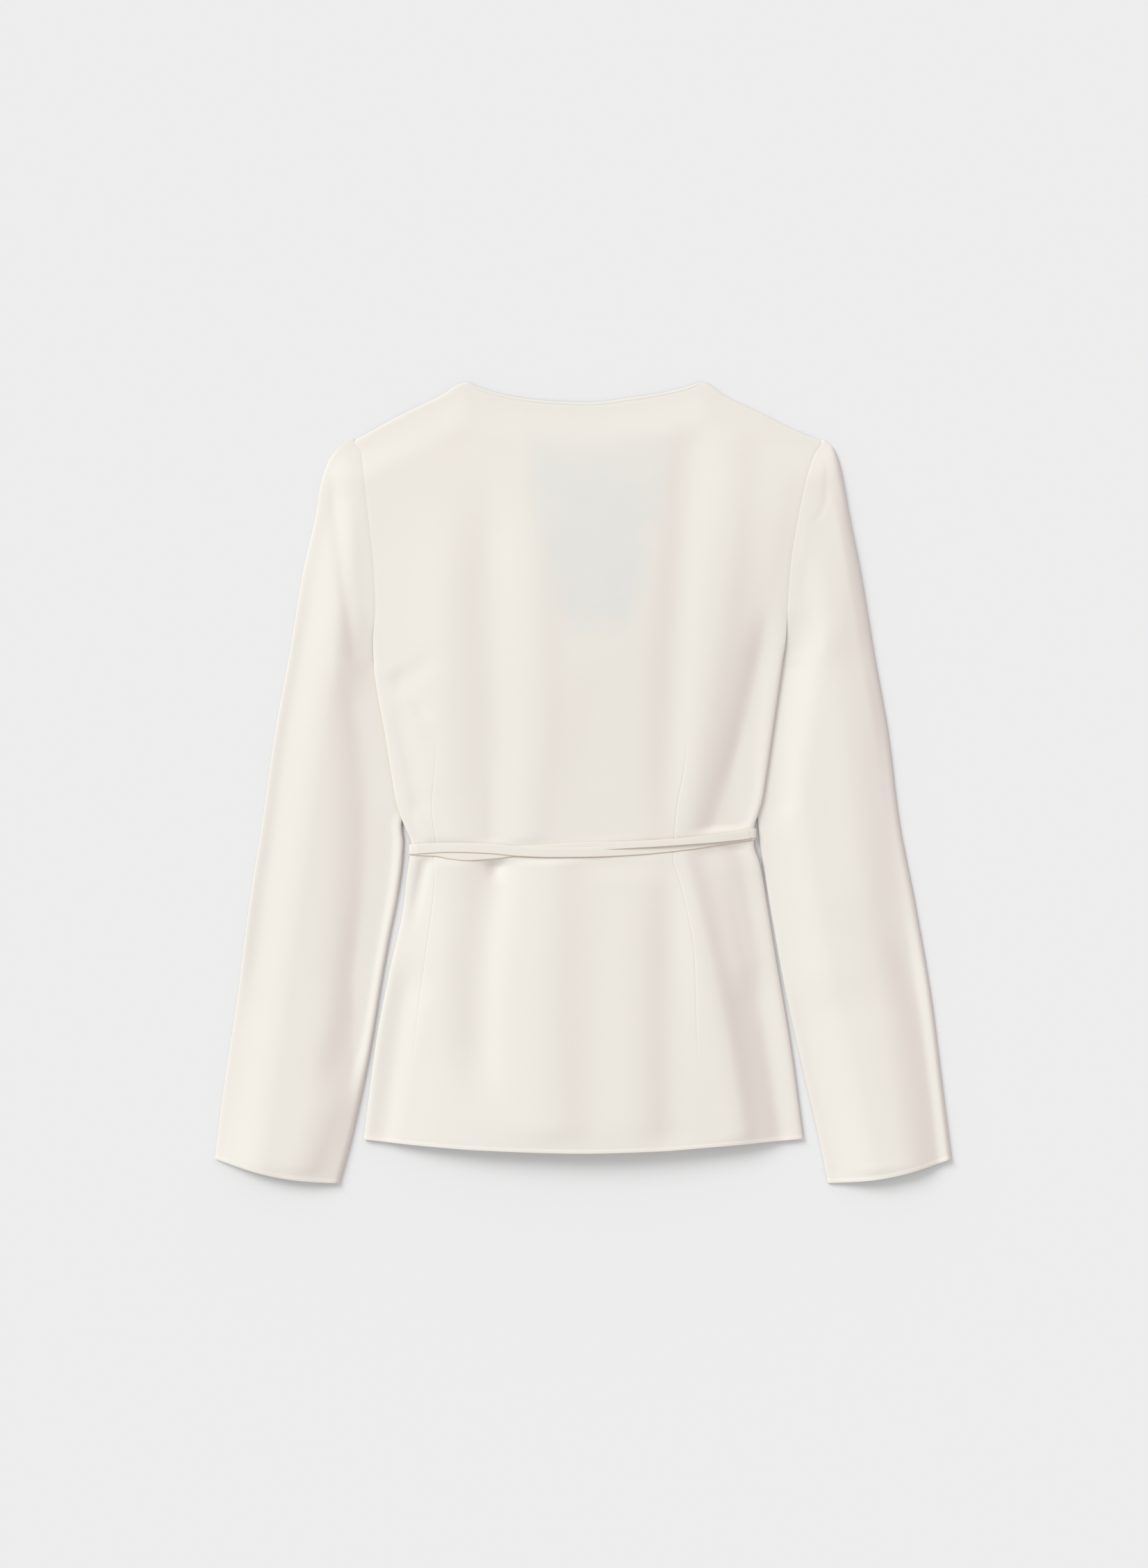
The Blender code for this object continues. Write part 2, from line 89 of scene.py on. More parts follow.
surface_mesh = bpy.data.meshes.new("surface")
surface_corners = [
    (x * SURFACE_REACH, y * SURFACE_REACH, SURFACE_LEVEL) for x, y in ((-1, -1), (1, -1), (1, 1), (-1, 1))
]
surface_mesh.from_pydata(surface_corners, [], [(0, 1, 2, 3)])
surface_paint = bpy.data.materials.new("surface")
surface_paint.use_nodes = True
surface_shader = surface_paint.node_tree.nodes["Principled BSDF"]
surface_shader.inputs["Base Color"].default_value = (SURFACE_GREY, SURFACE_GREY, SURFACE_GREY, 1.0)
surface_shader.inputs["Roughness"].default_value = 1.0
surface_shader.inputs["Specular IOR Level"].default_value = 0.0
surface_mesh.materials.append(surface_paint)
surface = placed("surface", surface_mesh)


# The back panel: one piece of ivory satin crepe from the shoulder seams to a narrow stitched hem, with two
# long waist darts. It hangs in soft vertical folds, gathered in by the tie, and rolls under at its sides.
# Lengths from here on are in millimetres, except the V's, which the material reads in metres.
MM = 0.001
CLOTH = 0.45
HALF = CLOTH / 2
LAYER = 0.9
SHOULDER_Y, UNDERARM_Y, WAIST_Y, HEM_Y, CUFF_Y = 275.8, 95.5, -48.0, -287.6, -323.4
FOLD_WIDTH, WRAP_UNDER, TUCK_DROP = 4.0, 52.0, 14.0
SHOULDER_ROLL = 40.0
SHOULDER_TURN, SHOULDER_QUICK = 1.8, 0.22
CROWN_POWER, SIDE_CLEAR = 2.4, 0.12
LEAST_FILL, SOFTLY, EDGE_LIFT = 0.6, 0.8, 1.2
STRAIGHT_TOP, STRAIGHT_BOTTOM = 110.0, -150.0
WAIST_HALF, WAIST_FADE = 17.0, 16.0
TIE_PRESS, TIE_PRESS_FADE = 4.0, 8.0
HEM_TURN, HEM_RISE, HEM_LEAD, HEM_STEP, HEM_DIP, HEM_STITCH = 3.0, 0.35, 0.3, 0.8, 0.3, 0.6
HEM_FROM, HEM_FADE = -240.0, 20.0
ROLL_FADE = 30.0
SEAM_GAP, SEAM_DIP, SEAM_HALF, SEAM_WELD = 0.3, 0.1, 1.5, 0.01
DART_TOP, DART_TOP_FADE, DART_BOTTOM, DART_BOTTOM_FADE = 46.0, 50.0, -238.0, 60.0
DART_DIP, DART_HALF = 0.2, 0.55
NECK_HALF, NECK_FADE, NECK_DEPTH, NECK_NARROWER = 95.0, 4.0, 0.8, 1.3
# The share of the shade colour on each piece: an even tint, plus painted shade that grows as the cloth falls
# away from the lamp.
TINT_BASE, PAINTED_SHADE_GAIN, TINT_HIDDEN, TINT_FRONT = 0.22, 1.6, 0.3, 0.25

IVORY = (0.79, 0.755, 0.69, 1.0)
# ROSE is the colour of the painted shade on the crepe, and is also mixed faintly into the weave.
ROSE = (0.745, 0.667, 0.62, 1.0)
# COOL is painted light: the pale surface seen through the one layer of the back inside the V.
COOL = (0.712, 0.706, 0.672, 1.0)
V_TIP, V_HALF, V_SLOPE, V_MIDDLE, V_RAGGED, V_BLUR = 0.122, 0.026, 0.2, 0.0105, 0.026, 0.015
V_STARTS, V_FADES, V_FADE, V_PATCHES = (0.100, 0.150), (0.225, 0.305), 0.85, (-0.1, 0.66)

TOP_EDGE = (
    ("x", "y"),
    (-185.0, 275.8),
    (-170.0, 284.5),
    (-145.0, 298.0),
    (-116.0, 312.0),
    (-94.6, 323.3),
    (-84.0, 319.0),
    (-55.0, 311.5),
    (-27.0, 308.2),
    (4.0, 307.0),
    (40.0, 311.0),
    (70.0, 316.0),
    (84.0, 319.5),
    (95.8, 323.3),
    (116.0, 311.5),
    (146.0, 297.0),
    (170.0, 285.0),
    (193.0, 275.8),
)
HEM_EDGE = (
    ("x", "y"),
    (-178.0, -288.0),
    (-130.0, -292.6),
    (-80.0, -296.0),
    (0.0, -298.2),
    (60.0, -296.6),
    (104.0, -293.4),
    (178.0, -287.6),
)
BODY = (
    ("y", "left", "right", "roll_height", "roll_radius", "crown"),
    (325.0, -184.2, 192.6, 2.6, 0.8, 3.2),
    (275.8, -184.2, 192.6, 3.0, 0.8, 5.6),
    (262.0, -178.8, 186.2, 3.9, 0.8, 6.6),
    (240.5, -176.4, 179.8, 4.8, 0.9, 8.4),
    (203.0, -172.3, 171.9, 5.5, 1.0, 11.0),
    (171.0, -168.7, 166.9, 5.5, 1.0, 12.8),
    (140.0, -167.5, 164.6, 5.2, 1.0, 13.8),
    (116.0, -169.2, 163.5, 4.6, 1.0, 14.1),
    (95.5, -168.6, 160.6, 4.0, 1.0, 14.2),
    (40.0, -159.9, 152.6, 3.9, 1.0, 13.2),
    (0.0, -153.4, 146.8, 3.9, 1.0, 12.2),
    (-15.0, -150.8, 144.3, 3.9, 1.0, 11.9),
    (-26.0, -147.4, 141.0, 3.9, 1.0, 11.7),
    (-35.0, -143.8, 138.2, 3.9, 1.0, 11.6),
    (-50.0, -138.3, 137.6, 3.9, 1.0, 11.5),
    (-64.0, -140.2, 142.0, 3.7, 1.0, 11.5),
    (-80.0, -142.6, 145.3, 2.5, 1.0, 11.8),
    (-100.0, -144.8, 148.6, 1.7, 1.0, 12.4),
    (-153.0, -156.2, 157.4, 1.7, 1.0, 13.6),
    (-209.0, -166.9, 166.9, 1.7, 1.0, 14.4),
    (-287.6, -177.0, 177.5, 1.7, 1.0, 15.0),
)
DARTS = (
    ("y", "left", "right"),
    (280.0, -120.0, 94.0),
    (60.0, -116.5, 86.0),
    (9.0, -119.5, 81.2),
    (-20.0, -121.8, 75.6),
    (-48.0, -118.7, 73.2),
    (-60.0, -120.5, 72.6),
    (-80.0, -119.5, 78.0),
    (-97.0, -121.0, 82.4),
    (-140.0, -127.0, 89.8),
    (-183.0, -132.5, 91.0),
    (-240.0, -138.9, 93.0),
    (-290.0, -143.0, 95.0),
)
BODY_FOLDS = (
    ("x0", "y0", "x1", "y1", "bow", "left", "right", "height", "start", "end"),
    (-77.8, 272.0, -65.2, -59.0, -2.4, 16.0, 15.6, -1.3, 90.0, 4.0),
    (-50.0, 240.0, -46.7, -59.0, 13.9, 19.0, 15.7, 1.1, 80.0, 4.0),
    (-107.4, 235.0, -106.0, -59.0, -4.3, 25.4, 20.3, 1.5, 80.0, 4.0),
    (89.1, 300.0, 71.1, -56.0, -5.4, 15.2, 15.3, -1.7, 40.0, 4.0),
    (121.6, 300.0, 68.4, -56.0, 15.1, 19.3, 15.4, 1.3, 40.0, 4.0),
    (155.5, 150.0, 101.3, -51.0, 3.8, 12.5, 25.7, -3.1, 50.0, 4.0),
    (122.0, 285.0, 164.0, 110.0, -19.5, 37.7, 31.1, -0.9, 30.0, 50.0),
    (171.9, 262.0, 142.0, 130.0, -0.1, 22.7, 7.7, 0.4, 30.0, 40.0),
    (-166.0, 73.0, -114.0, 107.0, -3.0, 9.0, 8.0, -0.6, 14.0, 20.0),
    (-156.0, 92.0, -124.0, 44.0, 3.0, 6.0, 8.0, -0.9, 12.0, 18.0),
    (-156.0, 66.0, -134.0, -34.0, 4.0, 6.0, 10.0, -0.8, 20.0, 16.0),
    (-146.0, 78.0, -128.0, 30.0, 2.0, 6.0, 8.0, 0.5, 16.0, 20.0),
    (-131.5, -55.0, -133.0, -76.0, 0.0, 4.0, 5.0, -1.3, 4.0, 14.0),
    (-69.0, -55.0, -72.0, -84.0, 0.0, 6.0, 7.0, -2.6, 4.0, 20.0),
    (-148.8, 0.0, -142.6, -59.0, 10.5, 4.8, 40.0, -0.7, 20.0, 4.0),
    (-147.1, 0.0, -117.1, -59.0, -0.9, 6.0, 6.7, 0.8, 20.0, 4.0),
    (-69.1, 30.0, -63.1, -59.0, 3.6, 9.9, 15.3, 0.6, 30.0, 4.0),
    (-74.7, 20.0, -75.0, -59.0, -0.7, 3.5, 9.6, -0.2, 30.0, 4.0),
    (135.8, 20.0, 121.6, -51.0, 4.4, 12.1, 30.4, -1.8, 20.0, 4.0),
    (139.4, 60.0, 131.7, -51.0, -7.1, 7.3, 29.8, -1.6, 40.0, 4.0),
    (34.0, 110.0, 17.5, -59.0, -18.9, 18.4, 40.0, -0.6, 40.0, 4.0),
    (-105.0, -55.0, -113.7, -230.0, -3.2, 15.9, 40.0, 1.2, 4.0, 70.0),
    (-124.5, -55.0, -140.0, -125.0, -2.9, 4.5, 6.0, -2.3, 4.0, 40.0),
    (-67.6, -55.0, -76.5, -275.0, -10.0, 20.0, 15.0, -3.2, 4.0, 70.0),
    (-22.5, -55.0, -22.0, -295.0, -4.9, 33.1, 21.0, 2.2, 4.0, 20.0),
    (22.0, -70.0, 10.5, -306.0, -4.1, 13.4, 19.1, -0.3, 30.0, 20.0),
    (29.9, -64.0, 41.3, -300.0, 14.8, 40.0, 40.0, 1.2, 20.0, 30.0),
    (75.6, -52.0, 72.1, -300.0, -4.7, 15.6, 17.9, -1.9, 4.0, 20.0),
    (75.8, -47.0, 129.7, -300.0, 6.2, 20.9, 10.6, 2.5, 4.0, 20.0),
    (106.0, -43.0, 166.8, -300.0, 4.7, 16.5, 40.0, -3.4, 4.0, 20.0),
    (108.7, -43.0, 138.0, -180.0, -1.6, 13.4, 20.2, 2.5, 4.0, 40.0),
    (-157.4, -130.0, -180.0, -300.0, 7.6, 8.0, 30.1, -3.1, 40.0, 20.0),
    (-119.4, -150.0, -150.0, -300.0, -3.3, 11.6, 9.7, 0.6, 40.0, 20.0),
)

TIE_UPPER = (
    ("x", "y", "half", "layer"),
    (-140.0, -54.0, 4.1, 2.0),
    (-105.0, -52.2, 4.0, 2.0),
    (-76.0, -53.1, 4.0, 2.0),
    (-52.0, -55.2, 4.1, 2.0),
    (-25.0, -56.2, 4.1, 2.0),
    (6.0, -56.0, 4.0, 1.8),
    (30.0, -55.2, 3.8, 1.2),
    (46.0, -54.4, 3.7, 1.0),
    (62.0, -52.9, 3.8, 1.0),
    (86.0, -50.0, 4.0, 1.0),
    (102.0, -47.5, 4.1, 1.0),
    (131.0, -43.2, 4.1, 1.0),
    (140.0, -42.4, 4.1, 1.0),
)
TIE_LOWER = (
    ("x", "y", "half", "layer"),
    (-140.0, -54.8, 4.0, 1.0),
    (-119.0, -55.4, 4.0, 1.0),
    (-106.0, -57.8, 4.1, 1.0),
    (-93.0, -58.8, 4.1, 1.0),
    (-76.0, -57.8, 4.0, 1.0),
    (-52.0, -55.2, 4.0, 1.0),
    (-22.0, -53.1, 3.8, 1.0),
    (6.0, -51.2, 3.5, 1.2),
    (30.0, -50.4, 3.0, 2.2),
    (46.0, -49.6, 2.9, 3.0),
    (62.0, -48.7, 2.9, 3.5),
    (86.0, -46.9, 3.0, 3.9),
    (102.0, -45.5, 3.3, 3.7),
    (126.0, -42.8, 3.6, 2.7),
    (140.0, -40.6, 4.1, 2.0),
)


def ease(t):
    """Smooth step from 0 to 1."""
    t = np.clip(t, 0.0, 1.0)
    return t * t * (3.0 - 2.0 * t)


def read(table, name, at):
    """The named column at this place, on a fair curve that doesn't overshoot the rows."""
    rows = np.array(sorted(table[1:]))
    places, values = rows[:, 0], rows[:, table[0].index(name)]
    steps = np.diff(places)
    rises = np.diff(values) / steps
    slopes = np.concatenate([rises[:1], np.zeros(len(rises) - 1), rises[-1:]])
    alike = rises[:-1] * rises[1:] > 0
    both = rises[:-1][alike] + rises[1:][alike]
    slopes[1:-1][alike] = 2.0 * rises[:-1][alike] * rises[1:][alike] / both
    at = np.clip(np.asarray(at, float), places[0], places[-1])
    k = np.clip(np.searchsorted(places, at, side="right") - 1, 0, len(steps) - 1)
    t = (at - places[k]) / steps[k]
    rise = t * t * (3.0 - 2.0 * t)
    return (
        values[k] * (1.0 - rise)
        + values[k + 1] * rise
        + steps[k] * t * (1.0 - t) * ((1.0 - t) * slopes[k] - t * slopes[k + 1])
    )


def relief(folds, x, y):
    """Sum of the folds at these points: each fades over its own lengths and leans to one side."""
    total = np.zeros(np.broadcast(x, y).shape)
    for x0, y0, x1, y1, bow, left, right, height, start, end in folds[1:]:
        length = math.hypot(x1 - x0, y1 - y0)
        ux, uy = (x1 - x0) / length, (y1 - y0) / length
        t = ((x - x0) * ux + (y - y0) * uy) / length
        aside = (y - y0) * ux - (x - x0) * uy - bow * 4.0 * t * (1.0 - t)
        ends = ease(t * length / start) * ease((1.0 - t) * length / end)
        total += height * ends * np.exp(-((aside / np.where(aside < 0.0, left, right)) ** 2))
    return total


def waist_band(y):
    """1 where the tie passes, 0 clear of it."""
    return 1.0 - ease((np.abs(y - WAIST_Y) - WAIST_HALF) / WAIST_FADE)


def front_height(y):
    """Middle of the lowest layer: on the surface, and lifted over the tie at the waist."""
    return HALF + 3.0 * LAYER * waist_band(y)


def hem_turn(distance):
    """Relief of a narrow turned hem this far from its edge: doubled cloth, then the stitch line's dip."""
    doubled = HEM_RISE * (1.0 - ease((distance - HEM_TURN + HEM_LEAD) / HEM_STEP))
    return doubled - HEM_DIP * np.exp(-(((distance - HEM_TURN) / HEM_STITCH) ** 2))


def kept_above(height, least, softly):
    """The height, kept above the least one without a crease."""
    spare = height - least
    return least + 0.5 * (spare + np.sqrt(spare * spare + softly * softly))


def tie_line(x):
    """Where the middle of the tie's two passes crosses the back."""
    return 0.5 * (read(TIE_UPPER, "y", x) + read(TIE_LOWER, "y", x))


def pressed(x, y):
    """0 under the tie and 1 clear of it."""
    return ease((np.abs(y - tie_line(x)) - TIE_PRESS) / TIE_PRESS_FADE)


def back_height(x, y):
    """Middle of the back's cloth, between its rolled edges."""
    left, right = read(BODY, "left", y), read(BODY, "right", y)
    top = read(BODY, "roll_height", y) + read(BODY, "roll_radius", y)
    side = np.clip(np.abs(2.0 * (x - left) / (right - left) - 1.0), 0.0, 1.0)
    crown = top + (read(BODY, "crown", y) - top) * (1.0 - side**CROWN_POWER)
    folds = relief(BODY_FOLDS, x, y) * ease((1.0 - side) / SIDE_CLEAR) * pressed(x, y)
    filled = kept_above(crown + folds, top - LEAST_FILL, SOFTLY)
    inside = np.maximum(read(TOP_EDGE, "y", x) - y, 0.0)
    low = HALF + EDGE_LIFT * CLOTH
    quick = SHOULDER_QUICK * (1.0 - np.exp(-inside / SHOULDER_TURN))
    return low + (filled - low) * (quick + (1.0 - SHOULDER_QUICK) * ease(inside / SHOULDER_ROLL))


def rolled(distance):
    """How far a rolled edge has turned this far in from its fold: from 0 to 1 over the fold's width."""
    return np.sqrt(1.0 - (1.0 - np.clip(distance / FOLD_WIDTH, 0.0, 1.0)) ** 2)


def laid(x, row):
    """Where a row that leaves the side edge at this y lies at each x, bent to the shoulders or to the hem."""
    above = ease((row - STRAIGHT_TOP) / (SHOULDER_Y - STRAIGHT_TOP))
    below = ease((STRAIGHT_BOTTOM - row) / (STRAIGHT_BOTTOM - HEM_Y))
    return row + above * (read(TOP_EDGE, "y", x) - SHOULDER_Y) + below * (read(HEM_EDGE, "y", x) - HEM_Y)


class Shade:
    """One socket of a material: sums on it add Math nodes, and make() adds any other node."""

    def __init__(self, tree, socket=None):
        self.tree, self.socket = tree, socket

    def make(self, kind, inputs=(), output=0, stops=(), **settings):
        """An output of a new node, whose settings come first, then the values or links of its sockets."""
        node = self.tree.nodes.new(kind)
        for name, setting in settings.items():
            setattr(node, name, setting)
        for place, (position, colour) in enumerate(stops):
            stop = node.color_ramp.elements[place] if place < 2 else node.color_ramp.elements.new(position)
            stop.position, stop.color = position, colour
        for key, value in dict(inputs).items():
            if isinstance(value, Shade):
                self.tree.links.new(value.socket, node.inputs[key])
            else:
                node.inputs[key].default_value = value
        return Shade(self.tree, node.outputs[output])

    def sum(self, operation, *values):
        """A Math node on these values."""
        return self.make("ShaderNodeMath", dict(enumerate(values)), operation=operation)

    def __add__(self, other):
        return self.sum("ADD", self, other)

    def __radd__(self, other):
        return self.sum("ADD", other, self)

    def __sub__(self, other):
        return self.sum("SUBTRACT", self, other)

    def __rsub__(self, other):
        return self.sum("SUBTRACT", other, self)

    def __mul__(self, other):
        return self.sum("MULTIPLY", self, other)

    def __rmul__(self, other):
        return self.sum("MULTIPLY", other, self)

    def __truediv__(self, other):
        return self.sum("DIVIDE", self, other)

    def between(self, low, high):
        """0 at low and 1 at high, with a soft start and end."""
        return self.make(
            "ShaderNodeMapRange",
            {"Value": self, "From Min": low, "From Max": high},
            interpolation_type="SMOOTHSTEP",
        )


def mix_colour(start, factor, one, other):
    """From one colour at factor 0 to the other at 1."""
    return start.make("ShaderNodeMix", {0: factor, 6: one, 7: other}, output=2, data_type="RGBA")


def satin_crepe(name, shade=ROSE, see_through=False):
    """Ivory satin crepe: a broad soft gloss over a fine pebbled weave, with painted shade in the shade colour
    where the cloth falls away from the lamp.
    """
    material = bpy.data.materials.new(name)
    material.use_nodes = True
    tree = material.node_tree
    shader = tree.nodes["Principled BSDF"]
    start = Shade(tree)
    place = start.make("ShaderNodeTexCoord", output="Object")
    thread = start.make("ShaderNodeTexCoord", output="UV")
    tint_and_painted_shade = start.make("ShaderNodeAttribute", output="Fac", attribute_name="tint_and_painted_shade")
    cloud = start.make("ShaderNodeTexNoise", {"Vector": place, "Scale": 22.0, "Detail": 2.0})
    # Painted shade: the shade colour is mixed in by each point's mark, most where the cloth falls away from
    # the lamp, over an even tint.
    colour = mix_colour(start, (tint_and_painted_shade + 0.10 * (cloud - 0.5)).between(0.0, 1.0), IVORY, shade)
    if see_through:
        # One layer lies over the pale surface inside the V of the hidden fronts: the cooler colour there is
        # painted light, the pale surface seen through the cloth.
        across = start.make("ShaderNodeSeparateXYZ", {"Vector": place}, output="X")
        along = start.make("ShaderNodeSeparateXYZ", {"Vector": place}, output="Y")
        ragged = start.make("ShaderNodeTexNoise", {"Vector": place, "Scale": 34.0, "Detail": 3.0})
        reach = V_HALF + V_SLOPE * (along - V_TIP)
        offset = across - V_MIDDLE + V_RAGGED * (ragged - 0.5)
        aside = offset.sum("ABSOLUTE", offset)
        inside = 1.0 - ((aside - reach) / V_BLUR).between(-1.0, 1.0)
        ends = along.between(*V_STARTS) * (1.0 - V_FADE * along.between(*V_FADES))
        patches = start.make(
            "ShaderNodeTexNoise", {"Vector": place, "Scale": 26.0, "Detail": 4.0, "Roughness": 0.62}
        )
        colour = mix_colour(start, inside * ends * patches.between(*V_PATCHES), colour, COOL)
    pebble = start.make(
        "ShaderNodeTexNoise", {"Vector": thread, "Scale": 1500.0, "Detail": 2.0, "Roughness": 0.6}
    )
    warp = start.make(
        "ShaderNodeTexWave",
        {"Vector": thread, "Scale": 260.0, "Distortion": 1.2, "Detail": 1.0, "Detail Scale": 2.0},
        wave_type="BANDS",
        bands_direction="X",
    )
    slub = start.make("ShaderNodeTexNoise", {"Vector": place, "Scale": 240.0, "Detail": 2.0})
    grain = 0.7 * pebble + 0.3 * warp
    bump = start.make(
        "ShaderNodeBump",
        {"Strength": 0.32, "Distance": 0.00006, "Height": grain + 0.8 * slub},
    )
    tree.links.new(mix_colour(start, 0.035 * grain, colour, ROSE).socket, shader.inputs["Base Color"])
    tree.links.new((0.45 + 0.08 * cloud + 0.05 * grain).socket, shader.inputs["Roughness"])
    tree.links.new(bump.socket, shader.inputs["Normal"])
    shader.inputs["Specular IOR Level"].default_value = 0.42
    shader.inputs["Sheen Weight"].default_value = 0.12
    shader.inputs["Sheen Roughness"].default_value = 0.45
    shader.inputs["Sheen Tint"].default_value = (1.0, 0.97, 0.92, 1.0)
    return material


def mark(mesh, tint_and_painted_shade, threads):
    """Gives every point of a mesh its tint and painted shade, and its place across and along the threads as
    the UV map.
    """
    marks = mesh.attributes.new("tint_and_painted_shade", "FLOAT", "POINT")
    marks.data.foreach_set("value", np.clip(tint_and_painted_shade, 0.0, 1.0).astype(np.float32).ravel())
    corners = np.empty(len(mesh.loops), np.int32)
    mesh.loops.foreach_get("vertex_index", corners)
    uv = (threads * MM).reshape(-1, 2)[corners]
    mesh.uv_layers.new(name="threads").data.foreach_set("uv", uv.ravel())


def finish_mesh(piece):
    """Applies the modifiers of a piece to its mesh."""
    graph = bpy.context.evaluated_depsgraph_get()
    finished = bpy.data.meshes.new_from_object(piece.evaluated_get(graph), depsgraph=graph)
    piece.modifiers.clear()
    piece.data = finished


def cloth_piece(name, grid, cells, tint_and_painted_shade, material):
    """A thin shell from a grid of points, with threads along the grid and its tint and painted shade marked.
    """
    rows, columns = grid.shape[:2]
    faces = [
        (r * columns + c, (r + 1) * columns + c, (r + 1) * columns + c + 1, r * columns + c + 1)
        for r in range(rows - 1)
        for c in range(columns - 1)
        if cells is None or cells[r, c]
    ]
    mesh = bpy.data.meshes.new(name)
    mesh.from_pydata((grid.reshape(-1, 3) * MM).tolist(), [], faces)
    middle = columns // 2
    across = np.cumsum(np.linalg.norm(np.diff(grid, axis=1, prepend=grid[:, :1]), axis=2), axis=1)
    across = across - across[:, middle, None]
    along = np.cumsum(np.linalg.norm(np.diff(grid, axis=0, prepend=grid[:1]), axis=2), axis=0)
    mark(mesh, tint_and_painted_shade, np.stack([across, np.repeat(along[:, middle, None], columns, axis=1)], axis=2))
    for face in mesh.polygons:
        face.use_smooth = True
    mesh.materials.append(material)
    piece = placed(name, mesh)
    weld = piece.modifiers.new("Seam", "WELD")
    weld.merge_threshold = SEAM_WELD * MM
    shell = piece.modifiers.new("Cloth", "SOLIDIFY")
    shell.thickness = CLOTH * MM
    shell.offset = 0.0
    finish_mesh(piece)
    return piece


def tinted_with_painted_shade(rise, run):
    """Painted shade over an even tint: how rosy each point is, the more the further the cloth falls away to
    the right, away from the lamp.
    """
    return np.clip(TINT_BASE - PAINTED_SHADE_GAIN * rise / run, 0.0, 1.0)


def spread(*stretches):
    """Places along stretches joined end to end, each given as (start, stop, cells)."""
    parts = [np.linspace(start, stop, cells + 1)[:-1] for start, stop, cells in stretches]
    return np.concatenate(parts + [[stretches[-1][1]]])


TURN_ROWS = 6
armhole_rows = spread((SHOULDER_Y, 272.0, 6), (272.0, 262.0, 6), (262.0, UNDERARM_Y, 60))
body_rows = spread(
    (UNDERARM_Y, -20.0, 44),
    (-20.0, -76.0, 34),
    (-76.0, -278.0, 76),
    (-278.0, HEM_Y + HEM_TURN, 6),
    (HEM_Y + HEM_TURN, HEM_Y, TURN_ROWS),
)
rows = np.concatenate([armhole_rows[:-1], body_rows])
roll = np.array([0.0, 0.05, 0.14, 0.28, 0.5, 0.75]) * FOLD_WIDTH
groove = np.array([-2.4, -1.5, -0.9, -0.45, 0.0, 0.45, 0.9, 1.5, 2.4])
under = np.concatenate([np.linspace(WRAP_UNDER, FOLD_WIDTH, 15), roll[:0:-1]])
lines = []
for row in rows:
    left, right = read(BODY, "left", row), read(BODY, "right", row)
    dart_left, dart_right = read(DARTS, "left", row), read(DARTS, "right", row)
    lines.append(
        np.concatenate(
            [
                left + roll,
                np.linspace(left + FOLD_WIDTH, dart_left + groove[0], 21)[:-1],
                dart_left + groove[:-1],
                np.linspace(dart_left + groove[-1], dart_right + groove[0], 77)[:-1],
                dart_right + groove[:-1],
                np.linspace(dart_right + groove[-1], right - FOLD_WIDTH, 33),
                right - roll[::-1],
            ]
        )
    )
across = np.array(lines)
edge_row = rows[:, None]
lie = laid(across, edge_row)
height = back_height(across, lie)
from_edge = np.minimum(across - across[:, :1], across[:, -1:] - across)
roll_height, roll_radius = read(BODY, "roll_height", edge_row), read(BODY, "roll_radius", edge_row)
rolling = 1.0 - ease((edge_row - UNDERARM_Y) / ROLL_FADE)
seam = SEAM_DIP * np.exp(-((from_edge / SEAM_HALF) ** 2))
height = height - rolling * roll_radius * (1.0 - rolled(from_edge)) - (1.0 - rolling) * seam
for side in ("left", "right"):
    stitched = np.exp(-(((across - read(DARTS, side, lie)) / DART_HALF) ** 2))
    taper = ease((lie - DART_BOTTOM) / DART_BOTTOM_FADE) * ease((DART_TOP - lie) / DART_TOP_FADE)
    height = height - DART_DIP * taper * stitched
height = height + hem_turn(lie - read(HEM_EDGE, "y", across)) * ease((HEM_FROM - edge_row) / HEM_FADE)
neck = ease((NECK_HALF - np.abs(across)) / NECK_FADE)
height = height + neck * NECK_DEPTH * hem_turn((read(TOP_EDGE, "y", across) - lie) * NECK_NARROWER)
back_tint_and_painted_shade = tinted_with_painted_shade(np.gradient(height, axis=1), np.maximum(np.gradient(across, axis=1), 0.2))
top = np.stack([across, lie, height], axis=2)

# The sleeves' inner edges: the back rolls under beside them.
SLEEVE_INNER = (
    ("y", "left", "right"),
    (78.0, -138.0, 127.5),
    (30.0, -138.8, 131.0),
    (0.0, -141.0, 136.0),
    (-24.0, -144.4, 140.0),
    (-35.0, -146.2, 141.6),
    (-48.0, -144.8, 142.6),
    (-60.0, -145.4, 144.4),
    (-91.6, -149.6, 149.6),
    (-123.5, -155.9, 155.2),
    (-153.2, -161.3, 160.4),
    (-220.4, -172.5, 174.7),
    (-287.6, -187.0, 190.4),
    (-323.4, -196.6, 197.6),
)


def tucked(side, sign):
    """The strip of the back that rolls under at one side, from its side seam out to the rolled edge."""
    edge = read(BODY, side, edge_row)
    covered = np.maximum(0.0, sign * (read(SLEEVE_INNER, side, edge_row) - edge)) + FOLD_WIDTH
    drop = ease((under - covered) / TUCK_DROP)
    low = (roll_height - roll_radius) * (1.0 - drop) + front_height(edge_row) * drop
    low = low + roll_radius * (1.0 - rolled(under))
    return np.stack(np.broadcast_arrays(edge + sign * under, laid(edge, edge_row), low), axis=2)


left_tuck, right_tuck = tucked("left", 1.0), tucked("right", -1.0)
grid = np.concatenate([left_tuck, top, right_tuck[:, ::-1]], axis=1)
tint_and_painted_shade = np.pad(back_tint_and_painted_shade, ((0, 0), (len(under), len(under))), constant_values=TINT_HIDDEN)
cells = np.ones((len(rows) - 1, grid.shape[1] - 1), bool)
cells[: len(armhole_rows) - 1, : len(under)] = False
cells[: len(armhole_rows) - 1, -len(under) :] = False
back = cloth_piece("back", grid, cells, tint_and_painted_shade, satin_crepe("satin_crepe_back", see_through=True))
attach(back, "root")
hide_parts("back_panel")


